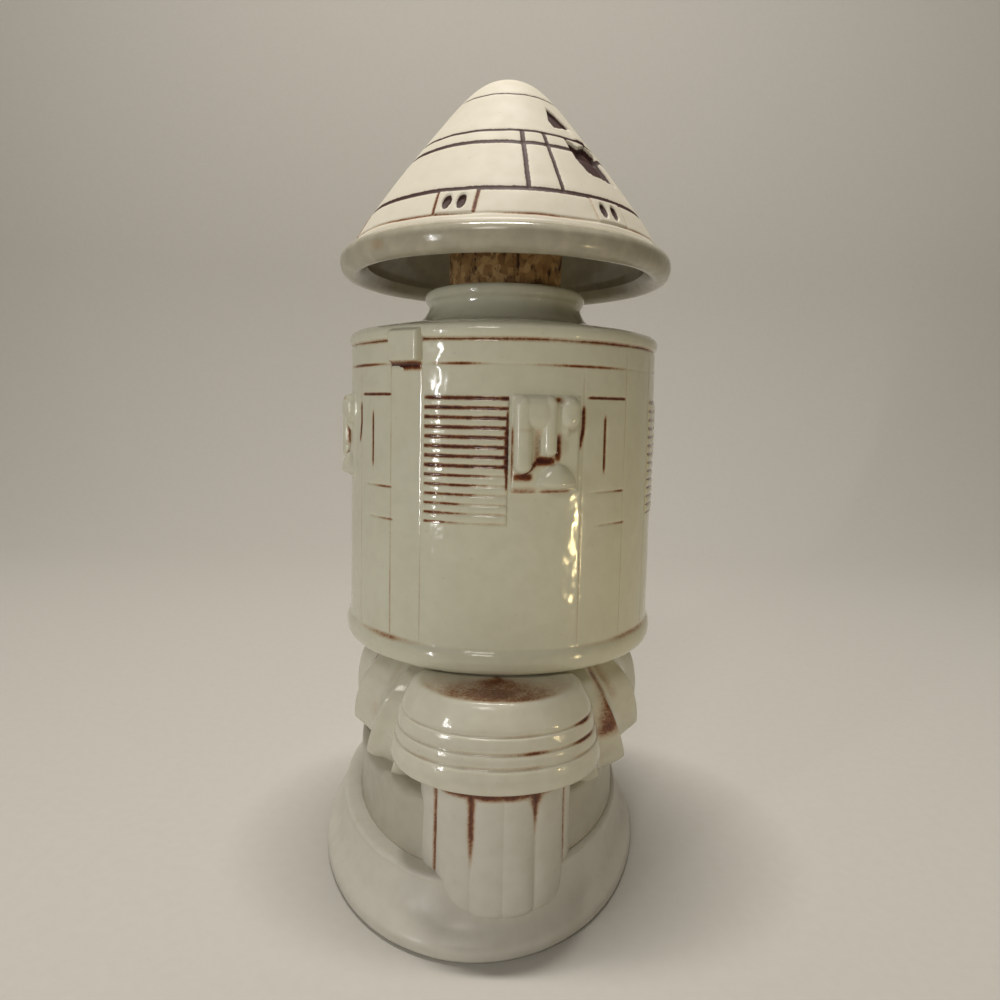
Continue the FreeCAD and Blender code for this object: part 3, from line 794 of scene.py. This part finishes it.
# azimuth of a groove, its depth, oxide strength, share of the height that the oxide runs down
COLUMN_GROOVES = (
    (-120.0, 1.4, 0.0, 0.0), (-86.0, 1.4, 0.2, 1.0), (-49.0, 1.5, 0.62, 1.0), (-16.5, 1.2, 0.72, 0.66),
    (7.0, 0.5, 0.0, 0.0), (31.0, 1.2, 0.78, 0.42), (66.0, 1.5, 0.50, 0.9), (98.0, 1.4, 0.2, 1.0),
    (121.0, 1.4, 0.0, 0.0),
)


def reed_offset(azimuth):
    """How far a reed's face falls back from its crown towards the groove beside it."""
    for left, right in zip(COLUMN_GROOVES[:-1], COLUMN_GROOVES[1:]):
        if azimuth <= right[0]:
            phase = (azimuth - left[0]) / (right[0] - left[0]) - 0.5
            depth = left[1] if phase < 0 else right[1]
            return depth * (math.sqrt(max(0.0, 1.0 - (1.94 * phase) ** 2)) - 1.0)
    return 0.0


def column_oxide_and_shade(azimuth, height):
    """Painted shade under the bell's rim, and oxide in the grooves; height is a share of the column's."""
    # painted shade: a dark band at the column's top, where the bell's rim overhangs it
    stain = 0.75 * between(azimuth, -45.0, 66.0, 14.0) * between(height, 0.94, 1.1, 0.05)
    for place, depth, strength, reach in COLUMN_GROOVES:
        gap = (azimuth - place) * FACE_DEGREE
        run = min(1.0, max(0.10 if strength > 0.5 else 0.0, (height - (1.0 - reach)) / 0.3))
        flare = 0.5 + 0.8 * strength * run + 2.2 * max(0.0, height - 0.84) / 0.16 * (0.9 if place > 0 else 0.3)
        stain = max(stain, strength * run * bell_curve(gap, flare))
    return stain


def column_piece(end, side):
    """One column; its points start with a row that closes the lower end."""
    levels = [COLUMN_LOW + 0.2 * k for k in range(16)] + [COLUMN_LOW + 3.6 + 0.9 * k for k in range(42)]
    sweep = [-COLUMN_SWEEP + 0.6 * k for k in range(401)]
    points = [(0.0, COLUMN_AXIS * side, COLUMN_LOW - 0.05)] * len(sweep)
    marks = [{}] * len(sweep)
    for level in levels:
        height = (level - COLUMN_LOW) / (CAPITAL_RIM - COLUMN_LOW)
        under = max(0.0, 1.0 - (level - COLUMN_LOW) / COLUMN_ROUND)
        tuck = COLUMN_ROUND * (1.0 - math.sqrt(max(0.0, 1.0 - under * under)))
        for a in sweep:
            reach = COLUMN_RADIUS - COLUMN_TAPER * height + reed_offset(a) - tuck
            x, out = reach * math.sin(math.radians(a)), COLUMN_AXIS + reach * math.cos(math.radians(a))
            bulge = 1.0 + waviness(x, out, level, 41.0) / 22.0
            x, out = x * bulge, COLUMN_AXIS + (out - COLUMN_AXIS) * bulge
            points.append((x * -side, out * side, level))
            marks.append({"stain": column_oxide_and_shade(a, height)})
    cells = grid_cells(len(levels) + 1, len(sweep), False, False)
    return finish_piece("fluted_column_%s_glazed" % end, cells, points, marks, PLINTH_GLAZE, "decanter",
                        ["fluted_column_" + end])


column_piece("front", -1)
column_piece("rear", 1)


# Pleated fans: hollow flutes between sharp ridges

# pleats on half a side, and how much the ridges gather towards the bells on their way up
FAN_PLEATS, FAN_GATHER = 4.0, 1.1
# a fan's half angle, and its reach across and along the pedestal at no share and at full share
FAN_HALF = 66.0
FAN_ACROSS, FAN_ALONG = (38.0, 51.0), (38.0, 62.0)
FAN_LOW = 40.0
RIDGE_RISE, FLUTE_DEPTH = 3.25, 5.4
# share of the reach, level, share of the pleat depth
FAN_SECTIONS = (
    (0.72, 40.0, 0.75), (0.93, 42.0, 0.95), (1.0, 46.0, 1.0), (1.0, 55.4, 1.0), (0.85, 64.9, 0.9),
    (0.45, 71.7, 0.6), (0.0, 75.6, 0.3),
)
# side, azimuth of the trough, low and high level, oxide strength
FAN_STAINS = ((1, 45.0, 52.0, 72.0, 0.6), (-1, 72.0, 62.0, 76.0, 0.55), (-1, 30.0, 46.0, 60.0, 0.4))


def fan_section(t):
    """Reach, level and pleat depth along the fan's height, by a smooth curve through the sections."""
    last = len(FAN_SECTIONS) - 1
    k = min(last - 1, int(t * last))
    u = t * last - k
    p = [FAN_SECTIONS[max(0, min(last, k + d))] for d in (-1, 0, 1, 2)]
    result = []
    for i in range(3):
        a, b, c, d = (p[n][i] for n in range(4))
        result.append(b + 0.5 * u * (c - a + u * (2 * a - 5 * b + 4 * c - d + u * (3 * b - a - 3 * c + d))))
    return result


def fan_oxide(side, azimuth, level, flute):
    """Oxide clouds in the flutes and the runs listed in FAN_STAINS."""
    blot = 0.15 + 1.3 * noise.noise(Vector((azimuth / 17.0, level / 16.0, 3.0 + 4.0 * side)))
    stain = flute ** 6 * clamp(0.5 * blot, 0.0, 0.3) * between(level, 44.0, 76.0, 8.0)
    for where, trough, low, high, strength in FAN_STAINS:
        if where == side:
            run = between(level, low, high, 5.0) * bell_curve(azimuth - trough, 3.4)
            stain = max(stain, strength * run)
    return stain


def fan_piece(end, side):
    """One fan; its points start with a row inside the drum's edge, and its petals end in scallops."""
    azimuths = [90.0 - FAN_HALF + 0.5 * k for k in range(265)]
    steps, scalloped = 64, 30.0
    points, marks = [], []
    for a in azimuths:
        turn = math.radians(a)
        points.append((34.0 * math.sin(turn) * side, -40.0 * math.cos(turn), FAN_LOW + 0.2))
        marks.append({})
    for i in range(steps + 1):
        share, level, pleat = fan_section(i / steps)
        spread = 1.0 + FAN_GATHER * max(0.0, level - FAN_LOW) / 35.0
        for a in azimuths:
            turn = math.radians(a)
            side_share = (FAN_HALF - abs(a - 90.0)) / FAN_HALF
            flute = math.sqrt(math.sin(math.pi * FAN_PLEATS * side_share ** (1.0 / spread)) ** 2 + 0.003)
            swell = pleat * (RIDGE_RISE - FLUTE_DEPTH * flute)
            half_x, half_y = (start + share * (full - start) + swell for start, full in (FAN_ACROSS, FAN_ALONG))
            x, y = half_x * math.sin(turn) * side, -half_y * math.cos(turn)
            lift = 1.0 + waviness(x, y, level, 47.0) / 45.0
            ends = 3.0 * (1.0 - flute) ** 2 + 8.0 * between(side_share, 0.62, 2.0, 0.3) - 5.0
            points.append((x * lift, y * lift, level + ends * max(0.0, 1.0 - i / scalloped)))
            marks.append({"stain": fan_oxide(side, a, level, flute)})
    cells = grid_cells(steps + 2, len(azimuths), False, False)
    return finish_piece("pleated_fan_%s_glazed" % end, cells, points, marks, BASE_GLAZE, "decanter",
                        ["pleated_fan_" + end])


fan_piece("left", -1)
fan_piece("right", 1)


# Drum and foot

STEP_TOP, DRUM_TOP, DRUM_ROOF = 19.5, 40.0, 36.0
DRUM_WALL, DRUM_INNER = 47.5, 42.5
DRUM_GROOVE = 20.4


def drum_relief(azimuth, radius, level):
    """A shallow groove where the drum meets the foot."""
    groove = bell_curve(level - DRUM_GROOVE, 0.7) if radius > 46 else 0.0
    return -0.2 * groove, {"stain": 0.14 * groove}


drum_outline = rounded((
    (0.0, DRUM_TOP, 0), (46.1, DRUM_TOP, 1.4), (DRUM_WALL, 38.6, 1.4), (DRUM_WALL, DRUM_GROOVE, 0.8),
    (48.1, STEP_TOP, 0)), 1.4)
drum_outline += rounded(((DRUM_INNER, STEP_TOP, 0), (DRUM_INNER, DRUM_ROOF, 1.0), (0.0, DRUM_ROOF, 0)), 5.0)
turned_piece("plinth_drum_glazed", drum_outline, round_azimuths(220), drum_relief, DRUM_GLAZE, "decanter",
             ["plinth_drum"], centre=(DRUM_SHIFT, 0.0), stretch=DRUM_STRETCH, seed=53.0)

foot_outline = rounded((
    (50.0, 0.0, 0), (57.2, 0.0, 0.5), (58.0, 1.0, 0.8), (58.0, 4.2, 1.6), (56.6, 6.4, 1.6), (54.2, 9.0, 3.0),
    (52.6, 13.6, 3.0), (51.7, 17.4, 0.8), (51.7, 18.8, 0.8), (50.9, STEP_TOP, 0.7), (DRUM_INNER, STEP_TOP, 0.4),
    (50.0, 0.1, 0)), 1.6)
turned_piece("foot_plinth_glazed", foot_outline, round_azimuths(240), plain, PLINTH_GLAZE, "decanter",
             ["foot_plinth"], closed=True, centre=(FOOT_SHIFT, 0.0),
             stretch=FOOT_STRETCH, seed=59.0)

# The core shows as it is, only glazed
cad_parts["pedestal_core"].data.materials.clear()
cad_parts["pedestal_core"].data.materials.append(BASE_GLAZE)


# Floor, light and camera

# metres: reach of the flat floor to the back, the sides and the front, round of the sweep, height of the backdrop
SWEEP_BACK, SWEEP_SIDE, SWEEP_FRONT, SWEEP_ROUND, SWEEP_HEIGHT = 0.45, 1.6, 1.6, 0.35, 2.2


def studio():
    """Plain pale floor that sweeps up into a backdrop on every side."""
    material, tree = new_material("plain_pale_floor")
    place = add(tree, "ShaderNodeTexCoord").outputs["Object"]
    tooth = add(tree, "ShaderNodeTexNoise", {"Vector": place, "Scale": 1 / 0.004, "Detail": 4.0})
    paper = add(tree, "ShaderNodeMix", {
        "Factor": tooth.outputs["Fac"], "A": colour("#cfccc6"), "B": colour("#c9c6bf")}, data_type="RGBA")
    surface = add(tree, "ShaderNodeBsdfPrincipled", {"Base Color": paper.outputs["Result"], "Roughness": 0.9})
    add(tree, "ShaderNodeOutputMaterial", {"Surface": surface.outputs["BSDF"]})
    profile = [(0.0, 0.0)]
    profile += [(SWEEP_ROUND * math.sin(math.radians(6 * k)), SWEEP_ROUND * (1.0 - math.cos(math.radians(6 * k))))
                for k in range(1, 16)]
    profile += [(SWEEP_ROUND, SWEEP_HEIGHT)]
    points = [(0.0, 0.0, 0.0)]
    turns = [math.radians(3 * k) for k in range(120)]
    for out, z in profile:
        for turn in turns:
            across, along = math.cos(turn), math.sin(turn)
            depth = SWEEP_BACK if along > 0 else SWEEP_FRONT
            reach = ((across / SWEEP_SIDE) ** 4 + (along / depth) ** 4) ** -0.25
            points.append(((reach + out) * across, (reach + out) * along, z))
    count = len(turns)
    cells = [(0, 1 + k, 1 + (k + 1) % count) for k in range(count)]
    for row in range(len(profile) - 1):
        for k in range(count):
            low, next_low = 1 + row * count + k, 1 + row * count + (k + 1) % count
            cells.append((low, low + count, next_low + count, next_low))
    mesh = bpy.data.meshes.new("floor_sweep")
    mesh.from_pydata(points, [], cells)
    mesh.polygons.foreach_set("use_smooth", [True] * len(mesh.polygons))
    mesh.materials.append(material)
    sweep = bpy.data.objects.new("floor_sweep", mesh)
    bpy.context.scene.collection.objects.link(sweep)


def lamp(name, place, aim, width, height, power, code, spread=180.0):
    """Oblong area lamp in metres and watts, aimed at a point."""
    data = bpy.data.lights.new(name, "AREA")
    data.shape = "RECTANGLE"
    data.size, data.size_y = width, height
    data.energy = power
    data.spread = math.radians(spread)
    data.color = colour(code)[:3]
    item = bpy.data.objects.new(name, data)
    item.location = place
    item.rotation_euler = (Vector(aim) - Vector(place)).to_track_quat("-Z", "Y").to_euler()
    bpy.context.scene.collection.objects.link(item)


studio()
lamp("overhead_strip", (-0.04, 0.07, 1.3), (-0.04, 0.0, 0.16), 0.4, 0.06, 10.8, "#fffaf2")
lamp("front_fill", (-0.22, -0.9, 0.95), (0.0, 0.0, 0.15), 0.3, 0.3, 2.3, "#fff8ee")
lamp("left_window_strip", (-0.50, -0.50, 0.161), (0.0, 0.0, 0.16), 0.014, 0.25, 0.107, "#ffffff", spread=60.0)
lamp("right_warm_strip", (0.31, -0.245, 0.055), (0.0, 0.0, 0.12), 0.006, 0.06, 0.008, "#ffe7a8", spread=40.0)

# Strength of the room behind the backdrop: as a light, and as it is seen or mirrored
ROOM_LIGHT, ROOM_SEEN = 0.03, 0.5


def room():
    """Dim even light, pale where the camera, a reflection or glass looks at it."""
    world = bpy.data.worlds.new("soft_room")
    world.use_nodes = True
    tree = world.node_tree
    rays = add(tree, "ShaderNodeLightPath")
    mirrored = add(tree, "ShaderNodeMath", {
        0: rays.outputs["Is Glossy Ray"], 1: rays.outputs["Is Transmission Ray"]}, operation="MAXIMUM")
    seen = add(tree, "ShaderNodeMath", {
        0: rays.outputs["Is Camera Ray"], 1: mirrored.outputs["Value"]}, operation="MAXIMUM")
    glow = add(tree, "ShaderNodeMapRange", {
        "Value": seen.outputs["Value"], "To Min": ROOM_LIGHT, "To Max": ROOM_SEEN})
    background = tree.nodes["Background"]
    background.inputs["Color"].default_value = colour("#f4f1ea")
    tree.links.new(glow.outputs["Result"], background.inputs["Strength"])
    bpy.context.scene.world = world


room()

# The viewer stands close: place in metres, angles in degrees, focal length in pixels of a 1000-pixel picture
VIEW_PLACE, VIEW_PITCH, VIEW_ROLL = (-0.0002, -0.260, 0.1582), 7.55, 1.2
FOCAL_PIXELS, PICTURE_PIXELS, SENSOR = 694.0, 1000.0, 36.0

camera_data = bpy.data.cameras.new("view")
camera_data.sensor_width = SENSOR
camera_data.lens = SENSOR * FOCAL_PIXELS / PICTURE_PIXELS
camera_data.clip_start = 0.01
camera = bpy.data.objects.new("view", camera_data)
camera.matrix_world = (Matrix.Translation(VIEW_PLACE)
                       @ Matrix.Rotation(math.radians(90 - VIEW_PITCH), 4, "X")
                       @ Matrix.Rotation(math.radians(VIEW_ROLL), 4, "Z"))
bpy.context.scene.collection.objects.link(camera)
bpy.context.scene.camera = camera
bpy.context.scene.view_settings.view_transform = "Standard"
